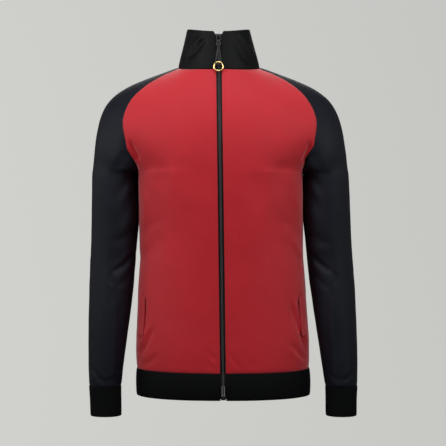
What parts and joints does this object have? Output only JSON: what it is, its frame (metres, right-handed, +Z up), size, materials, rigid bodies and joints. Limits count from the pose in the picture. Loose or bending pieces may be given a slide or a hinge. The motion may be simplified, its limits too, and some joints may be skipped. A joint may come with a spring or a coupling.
{
  "type": "track jacket",
  "caption": "Zip-front track jacket with raglan sleeves, stand collar, hem band and cuffs, filled out as when worn, with no wearer. The zip's pull swings.",
  "frame": {"origin": "middle of the neck opening, level with the seam of the collar at the sides of the neck", "axes": "+Z up the body, -Y out of the front of the jacket, +X towards the wearer's left"},
  "size_m": [0.5376, 0.2387, 0.764],
  "materials": {
    "red_cloth": "smooth matt knit with a soft sheen",
    "navy_cloth": "smooth matt knit with a soft sheen",
    "black_cloth": "matt, doubled",
    "zip_tape": "woven",
    "zip_coil": "fine black coil",
    "black_metal": "satin black",
    "gold_metal": "polished, gold tone"
  },
  "bodies": {
    "jacket": {"front_left": "red_cloth", "front_right": "red_cloth", "back": "red_cloth", "pocket_welt_left": "red_cloth", "pocket_welt_right": "red_cloth", "sleeve_left": "navy_cloth", "sleeve_right": "navy_cloth", "cuff_left": "black_cloth", "cuff_right": "black_cloth", "hem_band": "black_cloth", "collar": "black_cloth", "zip_tape_left": "zip_tape", "zip_tape_right": "zip_tape", "zip_chain": "zip_coil", "zip_box": "black_metal", "zip_slider": "black_metal"},
    "pull": {"pull_tab": "black_metal", "pull_cord": "zip_tape", "pull_ring": "gold_metal"}
  },
  "joints": [
    {"name": "pull_swing", "type": "hinge", "parent": "jacket", "child": "pull", "pos_m": [-0.00072, -0.06928, 0.054], "axis": [-1, 0, 0], "range_deg": [0, 150]}
  ]
}
